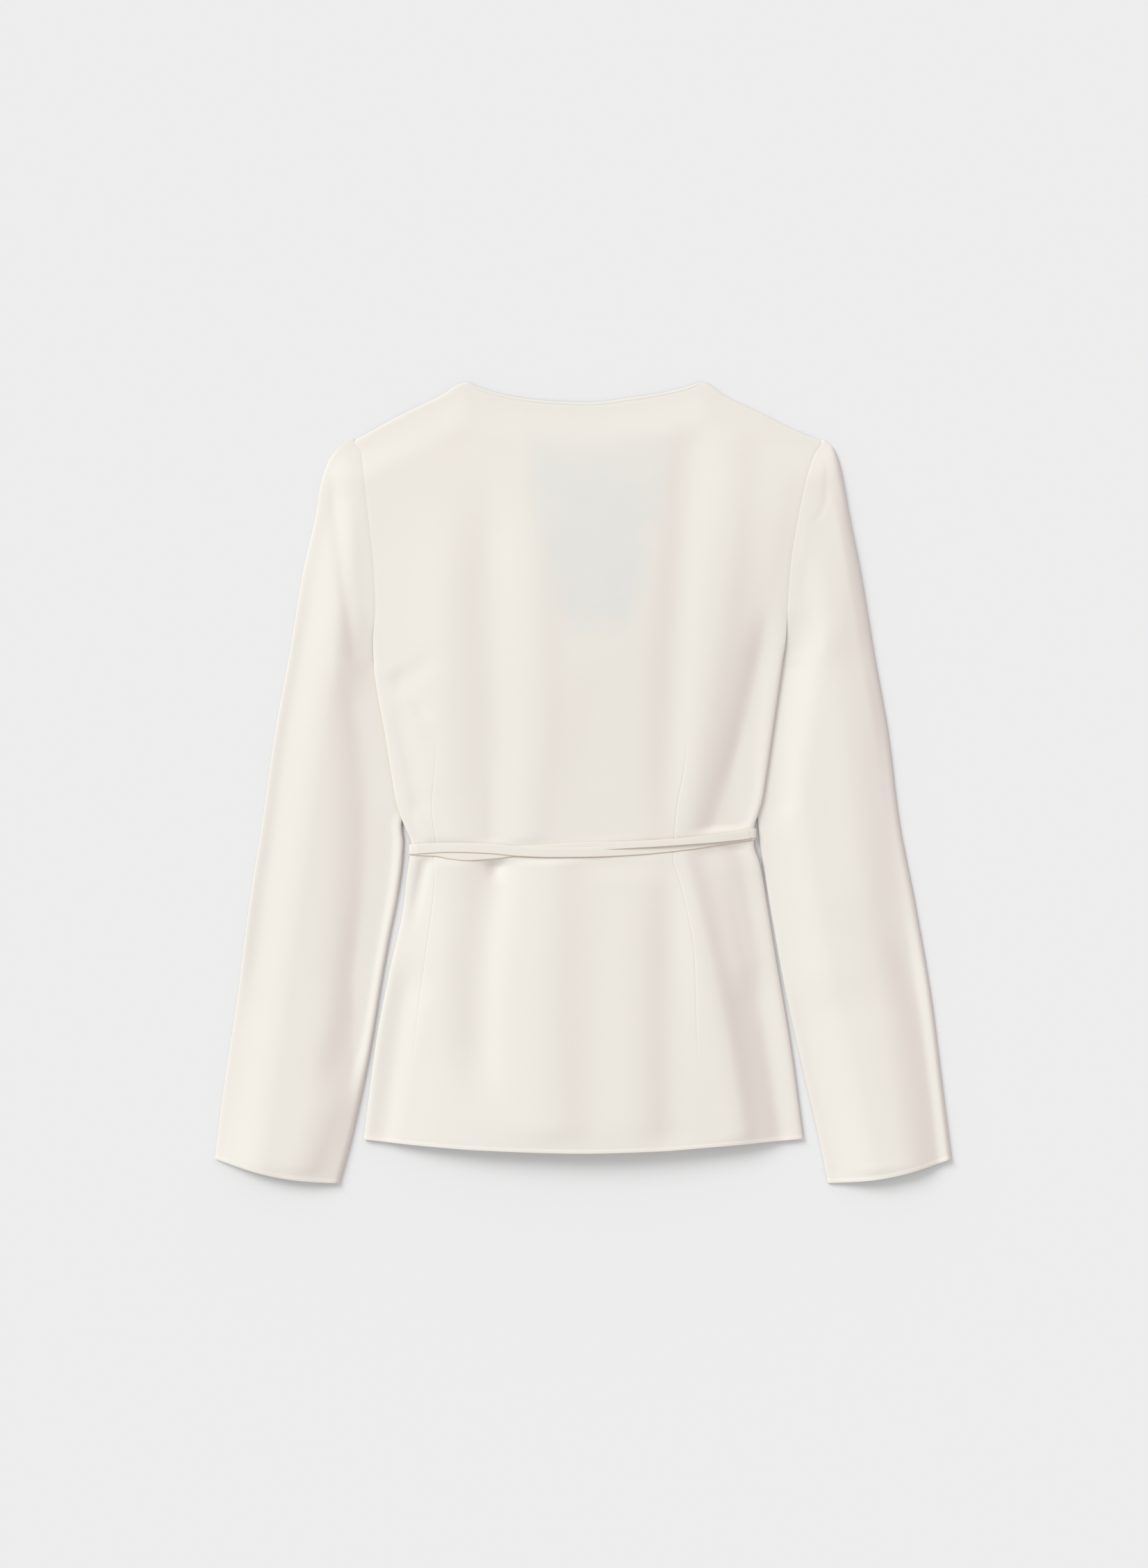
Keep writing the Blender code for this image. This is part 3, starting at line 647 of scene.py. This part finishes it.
# The stitching: one row of fine ivory thread along each narrow turned hem, where a machine sews it from the
# right side. Every stitch pulls a little way into the cloth.
STITCH_SPACING = 2.4
STITCH_LENGTH = 1.9
THREAD = 0.13
STITCH_SEED = 7

thread_material = bpy.data.materials.new("ivory_thread")
thread_material.use_nodes = True
thread_shader = thread_material.node_tree.nodes["Principled BSDF"]
thread = Shade(thread_material.node_tree)
thread_place = thread.make("ShaderNodeTexCoord", output="Object")
ply = thread.make("ShaderNodeTexNoise", {"Vector": thread_place, "Scale": 3000.0})
thread_colour = mix_colour(thread, ply, (0.80, 0.76, 0.69, 1.0), (0.70, 0.64, 0.56, 1.0))
thread_material.node_tree.links.new(thread_colour.socket, thread_shader.inputs["Base Color"])
thread_material.node_tree.links.new((0.5 + 0.2 * ply).socket, thread_shader.inputs["Roughness"])

stitching = bpy.data.node_groups.new("stitching", "GeometryNodeTree")
stitching.interface.new_socket("Path", in_out="INPUT", socket_type="NodeSocketGeometry")
stitching.interface.new_socket("Stitches", in_out="OUTPUT", socket_type="NodeSocketGeometry")
STITCH_INPUTS = {
    "Spacing": "NodeSocketFloat",
    "Length": "NodeSocketFloat",
    "Thread": "NodeSocketFloat",
    "Seed": "NodeSocketInt",
    "Material": "NodeSocketMaterial",
}
socket_of = {
    name: stitching.interface.new_socket(name, in_out="INPUT", socket_type=kind).identifier
    for name, kind in STITCH_INPUTS.items()
}
sewing = Shade(stitching)
given = {
    name: sewing.make("NodeGroupInput", output=place) for place, name in enumerate(("Path", *STITCH_INPUTS))
}
line = sewing.make("GeometryNodeMeshToCurve", {"Mesh": given["Path"]})
line = sewing.make("GeometryNodeResampleCurve", {"Curve": line, "Length": given["Spacing"]}, mode="LENGTH")
bead = sewing.make("GeometryNodeMeshUVSphere", {"Segments": 6, "Rings": 4, "Radius": 1.0})
size = sewing.make(
    "ShaderNodeCombineXYZ", {"X": given["Thread"], "Y": given["Thread"], "Z": 0.5 * given["Length"]}
)
bead = sewing.make("GeometryNodeTransform", {"Geometry": bead, "Scale": size})
tangent = sewing.make("GeometryNodeInputTangent")
facing = sewing.make("FunctionNodeAlignRotationToVector", {"Vector": tangent}, axis="Z")
uneven = sewing.make(
    "FunctionNodeRandomValue", {2: 0.88, 3: 1.06, "Seed": given["Seed"]}, output=1, data_type="FLOAT"
)
sewn_row = sewing.make(
    "GeometryNodeInstanceOnPoints", {"Points": line, "Instance": bead, "Rotation": facing, "Scale": uneven}
)
real = sewing.make("GeometryNodeRealizeInstances", {"Geometry": sewn_row})
sewn = sewing.make("GeometryNodeSetMaterial", {"Geometry": real, "Material": given["Material"]})
stitching.links.new(sewn.socket, stitching.nodes.new("NodeGroupOutput").inputs[0])


def stitch_row(name, path):
    """A row of stitches along a path of points, as a plain mesh."""
    mesh = bpy.data.meshes.new(name)
    raised = path + np.array([0.0, 0.0, HALF + 0.2 * THREAD])
    mesh.from_pydata((raised * MM).tolist(), [(k, k + 1) for k in range(len(path) - 1)], [])
    stitches = placed(name, mesh)
    sewing_pass = stitches.modifiers.new("Stitching", "NODES")
    sewing_pass.node_group = stitching
    sewing_pass[socket_of["Spacing"]] = STITCH_SPACING * MM
    sewing_pass[socket_of["Length"]] = STITCH_LENGTH * MM
    sewing_pass[socket_of["Thread"]] = THREAD * MM
    sewing_pass[socket_of["Seed"]] = STITCH_SEED
    sewing_pass[socket_of["Material"]] = thread_material
    finish_mesh(stitches)
    for face in stitches.data.polygons:
        face.use_smooth = True
    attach(stitches, "root")


stitch_row("hem_stitches", top[-1 - TURN_ROWS, 5:-5])


# The fronts: two wrap fronts under the back, the left one lapped over the right one. Their neck edges cross
# low on the chest, and below the tie they hang straight down to the hem.
ARMHOLE_UNDER = (
    ("y", "left", "right"),
    (275.8, -184.0, 192.0),
    (240.0, -161.0, 164.0),
    (200.0, -149.0, 151.0),
    (160.0, -143.5, 144.0),
    (120.0, -141.0, 135.5),
    (78.0, -138.0, 127.5),
)
FRONT_EDGE = (
    ("y", "left", "right"),
    (275.8, -92.5, 93.5),
    (200.0, -38.0, 46.0),
    (120.0, 8.0, 8.0),
    (40.0, 41.0, -32.0),
    (-48.0, 66.0, -60.0),
    (-150.0, 76.0, -70.0),
    (-287.6, 84.0, -80.0),
)
SHORTER, SHORTER_IN, SHORTER_FROM = 1.2, 12.0, 270.0
LAP_FROM, LAP_FADE = 18.0, 13.0
FRONT_ARMHOLE_Y = 96.5
front_rows = spread(
    (SHOULDER_Y, 100.0, 36),
    (100.0, FRONT_ARMHOLE_Y, 1),
    (FRONT_ARMHOLE_Y, -80.0, 46),
    (-80.0, -280.0, 36),
    (-280.0, HEM_Y, 6),
)
crepe = satin_crepe("satin_crepe")
for side, sign in (("left", 1.0), ("right", -1.0)):
    lines = []
    for row in front_rows:
        if row >= FRONT_ARMHOLE_Y:
            start = read(ARMHOLE_UNDER, side, row) + sign * SEAM_GAP
        else:
            start = read(BODY, side, row) + sign * (WRAP_UNDER + SEAM_GAP)
        x = np.linspace(start, read(FRONT_EDGE, side, row), 41)
        lap = 0.0
        if side == "left":
            lap = LAYER * ease((x - read(FRONT_EDGE, "right", row) + LAP_FROM) / LAP_FADE)
        y = laid(x, row)
        near_top = ease((row - SHORTER_FROM) / (SHOULDER_Y - SHORTER_FROM))
        y = y - SHORTER * ease(sign * (x - start) / SHORTER_IN) * near_top
        lines.append(np.stack([x, y, front_height(y) + lap], axis=1))
    grid = np.array(lines)
    piece = cloth_piece(f"front_panel_{side}", grid, None, np.full(grid.shape[:2], TINT_FRONT), crepe)
    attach(piece, "root")
    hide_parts(f"front_{side}")


# The sleeves: long, set in at the armhole and laid flat beside the body, each sewn into a tube with one
# underarm seam and a narrow stitched hem at the cuff. The cap's fullness breaks into creases by the armhole.
SLEEVE_OUTER = (
    ("y", "left", "right"),
    (277.2, -184.8, 193.4),
    (274.4, -190.0, 197.0),
    (271.3, -196.0, 200.6),
    (257.9, -206.1, 206.1),
    (238.8, -212.2, 210.6),
    (216.4, -215.6, 214.5),
    (171.6, -225.7, 223.4),
    (104.4, -236.9, 234.6),
    (37.2, -249.2, 246.4),
    (-30.0, -258.7, 254.8),
    (-97.2, -269.4, 267.7),
    (-175.6, -279.4, 281.1),
    (-242.8, -289.5, 289.5),
    (-303.8, -297.2, 297.2),
)
SLEEVE_HEIGHT = (
    ("y", "left", "right"),
    (275.8, 4.6, 4.6),
    (250.0, 7.2, 7.2),
    (200.0, 8.4, 8.6),
    (120.0, 7.8, 8.0),
    (40.0, 6.6, 6.8),
    (-60.0, 6.2, 6.4),
    (-180.0, 6.2, 6.4),
    (-260.0, 6.8, 7.4),
    (-323.4, 7.6, 8.8),
)
SLEEVE_FOLDS = {
    "left": (
        ("x0", "y0", "x1", "y1", "bow", "left", "right", "height", "start", "end"),
        (-201.3, 252.0, -180.6, 92.0, -1.7, 6.3, 28.5, -1.6, 30.0, 12.0),
        (-189.8, 240.0, -176.4, 112.0, -0.9, 5.3, 6.2, 0.7, 40.0, 12.0),
        (-182.2, 100.0, -200.7, -268.0, 16.9, 18.5, 40.0, -4.1, 40.0, 60.0),
        (-236.0, 190.0, -262.0, -200.0, -13.8, 33.4, 26.6, -1.6, 80.0, 80.0),
        (-172.0, 70.0, -172.2, -230.0, 3.5, 14.1, 34.2, -0.2, 30.0, 60.0),
        (-194.2, -150.0, -227.3, -318.0, 11.8, 23.7, 12.2, 1.3, 40.0, 10.0),
        (-236.0, -180.0, -266.4, -318.0, 19.0, 35.9, 40.0, 1.7, 40.0, 10.0),
        (-204.6, 255.0, -188.3, 225.0, 1.4, 3.5, 4.4, 0.3, 8.0, 10.0),
    ),
    "right": (
        ("x0", "y0", "x1", "y1", "bow", "left", "right", "height", "start", "end"),
        (183.0, 262.0, 153.1, 84.0, 12.2, 4.4, 12.9, -1.0, 12.0, 12.0),
        (212.0, 240.0, 199.0, 90.0, 9.9, 17.4, 40.0, 1.9, 30.0, 40.0),
        (209.5, 140.0, 217.7, -160.0, 12.2, 38.6, 27.6, 2.6, 80.0, 80.0),
        (228.0, -100.0, 236.0, -318.0, -9.8, 37.4, 40.0, 2.4, 60.0, 10.0),
        (248.0, -100.0, 292.0, -318.0, 9.6, 16.5, 32.6, -2.6, 60.0, 10.0),
        (159.4, 40.0, 204.0, -200.0, 2.2, 9.0, 20.2, 0.3, 60.0, 60.0),
        (254.0, 60.0, 254.0, -200.0, -3.8, 40.0, 39.3, -1.1, 60.0, 60.0),
        (198.8, -150.0, 220.0, -318.0, -2.4, 40.0, 33.8, -1.6, 40.0, 10.0),
        (196.0, 262.0, 194.0, 218.0, 0.6, 2.4, 3.6, -0.55, 8.0, 10.0),
        (195.0, 224.0, 182.0, 208.0, 2.0, 3.4, 2.6, -0.55, 6.0, 8.0),
        (182.0, 242.0, 192.0, 251.0, 1.0, 2.6, 2.6, -0.4, 4.0, 5.0),
        (177.0, 190.0, 168.0, 140.0, 2.0, 3.4, 6.0, -0.7, 16.0, 20.0),
    ),
}
SLEEVE_FOLD = 0.6
DUCKED, DUCK_REACH, DUCK_END, DUCK_FADE = 1.9, 34.0, -44.0, 24.0
MEETS_BELOW, MEETS_FADE = 10.0, 55.0
SLEEVE_SIDE, SLEEVE_LEAST, SLEEVE_SOFTLY = 12.0, 0.5, 0.5
SWELL_TURN, SWELL_REACH = 1.6, 42.0
QUICK_TO_LAMP, QUICK_FROM_LAMP = 0.14, 0.5
CUFF_BOW, BOW_FROM, BOW_FADE = 4.6, -270.0, 50.0
CUFF_HEM_FROM, CUFF_HEM_FADE = -300.0, 8.0
ARMHOLE_DIP, ARMHOLE_FADE = 0.15, 20.0
SEAM_ALLOWANCE, ALLOWANCE_FALL = 1.4, 0.55
OPEN_SIDE = 80.0
LOWER_TURN = 1.3
TUBE_TOP = 78.0
tube_rows = spread(
    (TUBE_TOP, -304.0, 140),
    (-304.0, CUFF_Y + HEM_TURN, 10),
    (CUFF_Y + HEM_TURN, CUFF_Y, TURN_ROWS),
)
sleeve_rows = np.concatenate([armhole_rows, [93.0, 90.0, 87.0, 84.0, 81.0], tube_rows])
upper = 0.5 - 0.5 * np.cos(np.pi * spread((0.0, 1.0, 52)))
upper = 0.55 * upper + 0.45 * spread((0.0, 1.0, 52))
lower = 0.5 - 0.5 * np.cos(np.pi * spread((0.0, 1.0, 24)))


def cuff_bow(c, row):
    """How far the cuff's edge bows past the straight line across it."""
    return CUFF_BOW * np.sin(np.pi * c) * ease((BOW_FROM - row) / BOW_FADE)


def outer_end(row):
    """The y of a sleeve row's outer end: higher than its inner end, most of all below the cap."""
    raised = row + 1.4 + 3.6 * ease((SHOULDER_Y - row) / 16.0)
    return raised + 20.0 * ease((SHOULDER_Y - row) / 150.0) - 5.4 * ease((TUBE_TOP - row) / 300.0)


def swell(distance, quick):
    """How full the sleeve is this far from its folded edge: a quick soft turn, then a slow rise."""
    return quick * (1.0 - np.exp(-distance / SWELL_TURN)) + (1.0 - quick) * ease(distance / SWELL_REACH)


def sleeve_height(side, x, y, row, from_outer, from_inner):
    """Middle of the sleeve's upper layer, which meets the armhole seam and ducks under the body below it."""
    to_lamp, from_lamp = (from_outer, from_inner) if side == "left" else (from_inner, from_outer)
    fullness = swell(to_lamp, QUICK_TO_LAMP) * swell(from_lamp, QUICK_FROM_LAMP)
    low = HALF + SLEEVE_FOLD
    z = low + (read(SLEEVE_HEIGHT, side, row) - low) * fullness
    z = z + relief(SLEEVE_FOLDS[side], x, y) * ease(np.minimum(from_outer, from_inner) / SLEEVE_SIDE)
    z = kept_above(z, low + SLEEVE_LEAST * fullness, SLEEVE_SOFTLY)
    edge = read(BODY, side, row)
    seam = back_height(edge, laid(edge, row))
    meets = DUCKED + (seam - DUCKED) * ease((row - UNDERARM_Y + MEETS_BELOW) / MEETS_FADE)
    outside = (1.0 if side == "left" else -1.0) * (read(BODY, side, y) - x)
    near = (1.0 - ease(outside / DUCK_REACH)) * ease((row - DUCK_END) / DUCK_FADE)
    return z + (meets - z) * near


for side, sign in (("left", 1.0), ("right", -1.0)):
    lines = []
    for row in sleeve_rows:
        armhole = row >= UNDERARM_Y
        passed = ease((UNDERARM_Y - row) / (UNDERARM_Y - TUBE_TOP))
        outer = np.array([read(SLEEVE_OUTER, side, outer_end(row)), outer_end(row)])
        beneath = np.array([read(ARMHOLE_UNDER, side, row), row])
        if row <= TUBE_TOP:
            above = beneath = np.array([read(SLEEVE_INNER, side, row), row])
        elif armhole:
            above = np.array([read(BODY, side, row), laid(read(BODY, side, row), row)])
        else:
            above = np.array([read(BODY, side, row) * (1.0 - passed) + beneath[0] * passed, row])
        plan = outer + np.outer(upper, above - outer)
        plan[:, 1] -= cuff_bow(upper, row)
        width = np.linalg.norm(above - outer)
        open_side = OPEN_SIDE * (1.0 - passed)
        z = sleeve_height(side, plan[:, 0], plan[:, 1], row, upper * width, (1.0 - upper) * width + open_side)
        seam = np.exp(-(((1.0 - upper) * width / SEAM_HALF) ** 2))
        z = z - ARMHOLE_DIP * seam * ease((row - UNDERARM_Y) / ARMHOLE_FADE)
        z = z + hem_turn(row - CUFF_Y) * ease((CUFF_HEM_FROM - row) / CUFF_HEM_FADE)
        top = np.stack([plan[:, 0], plan[:, 1], z], axis=1)
        # The seam allowance lies under the back's edge.
        allowance = (SEAM_ALLOWANCE if armhole else 0.0) * np.array([0.5, 1.0])
        under_edge = np.maximum(z[-1] - ALLOWANCE_FALL * allowance, HALF)
        hidden = np.stack([above[0] + sign * allowance, [above[1]] * 2, under_edge], axis=1)
        plan = outer + np.outer(lower, beneath - outer)
        plan[:, 1] -= cuff_bow(lower, row)
        width = np.linalg.norm(beneath - outer)
        from_edge = np.minimum(lower * width, (1.0 - lower) * width + open_side)
        turned = 1.0 - np.exp(-from_edge / LOWER_TURN)
        bottom = np.stack([plan[:, 0], plan[:, 1], HALF + SLEEVE_FOLD * (1.0 - turned)], axis=1)
        lines.append(np.concatenate([hidden[::-1], top[::-1], bottom[1:]]))
    grid = np.array(lines)
    covered = len(hidden) + len(upper)
    tint_and_painted_shade = tinted_with_painted_shade(np.gradient(grid[..., 2], axis=1), np.gradient(grid[..., 0], axis=1))
    tint_and_painted_shade[:, : len(hidden)] = tint_and_painted_shade[:, covered:] = TINT_HIDDEN
    piece = cloth_piece(f"sleeve_tube_{side}", grid, None, tint_and_painted_shade, crepe)
    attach(piece, "root")
    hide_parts(f"sleeve_{side}")
    stitch_row(f"cuff_stitches_{side}", grid[-1 - TURN_ROWS, len(hidden) + 3 : covered - 3])


# The tie: a narrow flat tube of the same crepe, sewn to the fronts and wound twice round the waist. Its two
# passes cross on the back: the upper lies on top at the left, the lower at the right. The rest is knotted
# under the front.
TIE_WIDTH = 8.8
TIE_THICK = 0.7
TIE_LAYER = 0.72
TIE_SQUARE, TIE_FLAT, TIE_ROUND = 0.35, 0.7, 3.0
UPPER_TAIL, LOWER_TAIL = 24.0, 20.0
KNOT_X, KNOT_HALF, KNOT_WIDER, KNOT_THICKER = 4.0, 9.0, 2.4, 0.2
TIE_CLEAR = 0.1
# The lower edge of each pass is painted in the brown TIE_SHADE as shade for the dark slit beneath it; the
# rest of the tie has a faint even tint.
TIE_TINT, EDGE_PAINTED_SHADE, EDGE_FROM, EDGE_FADE = 0.12, 0.75, 0.8, 0.18
TIE_SHADE = (0.6, 0.43, 0.31, 1.0)
tie_crepe = satin_crepe("satin_crepe_tie", shade=TIE_SHADE)
SECTION = 2.0 * np.pi * np.arange(20) / 20


def tube_piece(name, path, up_way, half, thick):
    """A closed flat tube along a path of points, with the section's height along up_way at each of them."""
    across = np.sign(np.cos(SECTION)) * np.abs(np.cos(SECTION)) ** TIE_SQUARE
    up = 0.5 * np.sign(np.sin(SECTION)) * np.abs(np.sin(SECTION)) ** TIE_FLAT
    along = np.gradient(path, axis=0)
    along /= np.linalg.norm(along, axis=1, keepdims=True)
    side_way = np.cross(up_way, along)
    side_way /= np.linalg.norm(side_way, axis=1, keepdims=True)
    up_way = np.cross(along, side_way)
    rings = (
        path[:, None]
        + side_way[:, None] * (across[None, :, None] * half[:, None, None])
        + up_way[:, None] * (up[None, :, None] * thick[:, None, None])
    )
    count, around = rings.shape[:2]
    faces = [
        (r * around + c, r * around + d, (r + 1) * around + d, (r + 1) * around + c)
        for r in range(count - 1)
        for c, d in ((c, (c + 1) % around) for c in range(around))
    ]
    faces += [tuple(range(around))[::-1], tuple(range((count - 1) * around, count * around))]
    mesh = bpy.data.meshes.new(name)
    mesh.from_pydata((rings.reshape(-1, 3) * MM).tolist(), [], faces)
    # Painted shade along the lower edge of the section, over a faint even tint.
    tie_tint_and_edge_shade = np.tile(TIE_TINT + EDGE_PAINTED_SHADE * ease((-across - EDGE_FROM) / EDGE_FADE), count)
    lengths = np.cumsum(np.linalg.norm(np.diff(path, axis=0, prepend=path[:1]), axis=1))
    threads = np.broadcast_arrays(SECTION[None] * TIE_ROUND, lengths[:, None])
    mark(mesh, tie_tint_and_edge_shade, np.stack(threads, axis=2))
    for face in mesh.polygons:
        face.use_smooth = len(face.vertices) == 4
    mesh.materials.append(tie_crepe)
    return placed(name, mesh)


for name, table, tail in (("upper", TIE_UPPER, UPPER_TAIL), ("lower", TIE_LOWER, LOWER_TAIL)):
    left, right = read(BODY, "left", WAIST_Y), read(BODY, "right", WAIST_Y)
    x = np.linspace(left + FOLD_WIDTH, right - FOLD_WIDTH, 181)
    height = back_height(x, tie_line(x)) + TIE_LAYER * read(table, "layer", x)
    path = [np.stack([x, read(table, "y", x), height], axis=1)]
    halves = [read(table, "half", x)]
    ways = [np.repeat([[0.0, 0.0, 1.0]], len(x), axis=0)]
    angle = np.linspace(0.5 * np.pi, -0.5 * np.pi, 17)[1:]
    lean = np.cos(angle)
    for side, sign in (("left", 1.0), ("right", -1.0)):
        at = read(table, "y", read(BODY, side, WAIST_Y))
        edge = read(BODY, side, at)
        reach = TIE_LAYER * read(table, "layer", edge)
        tall, thin = read(BODY, "roll_height", WAIST_Y), read(BODY, "roll_radius", WAIST_Y)
        beneath = np.linspace(FOLD_WIDTH, tail, 9)[1:]
        out = np.concatenate([FOLD_WIDTH * (1.0 - lean) - reach * lean, beneath])
        up = np.concatenate([(thin + reach) * np.sin(angle), np.full(len(beneath), -thin - reach)])
        end = np.stack([edge + sign * out, np.full(len(out), at), tall + up], axis=1)
        way = np.stack([-sign * lean, np.zeros(len(lean)), np.sin(angle)], axis=1)
        way = np.concatenate([way, np.repeat([[0.0, 0.0, -1.0]], len(beneath), axis=0)])
        half = np.full(len(out), read(table, "half", edge))
        order = slice(None, None, -1) if side == "left" else slice(None)
        at_place = 0 if side == "left" else len(path)
        path.insert(at_place, end[order])
        ways.insert(at_place, way[order])
        halves.insert(at_place, half)
    path, ways, halves = np.concatenate(path), np.concatenate(ways), np.concatenate(halves)
    piece = tube_piece(f"tie_pass_{name}", path, ways, halves, np.full(len(path), TIE_THICK))
    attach(piece, "root")
    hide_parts(f"tie_{name}")

tie_left_y = read(TIE_UPPER, "y", read(BODY, "left", WAIST_Y))
tie_right_y = read(TIE_UPPER, "y", read(BODY, "right", WAIST_Y))
inset = UPPER_TAIL + SEAM_GAP
x = np.linspace(read(BODY, "left", tie_left_y) + inset, read(BODY, "right", tie_right_y) - inset, 81)
y = np.interp(x, (x[0], x[-1]), (tie_left_y, tie_right_y))
knot = np.exp(-(((x - KNOT_X) / KNOT_HALF) ** 4))
piece = tube_piece(
    "tie_under_front",
    np.stack([x, y, np.full(len(x), TIE_THICK / 2 + TIE_CLEAR)], axis=1),
    np.repeat([[0.0, 0.0, 1.0]], len(x), axis=0),
    TIE_WIDTH / 2 + KNOT_WIDER * knot,
    TIE_THICK + KNOT_THICKER * knot,
)
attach(piece, "root")
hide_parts("tie_front")
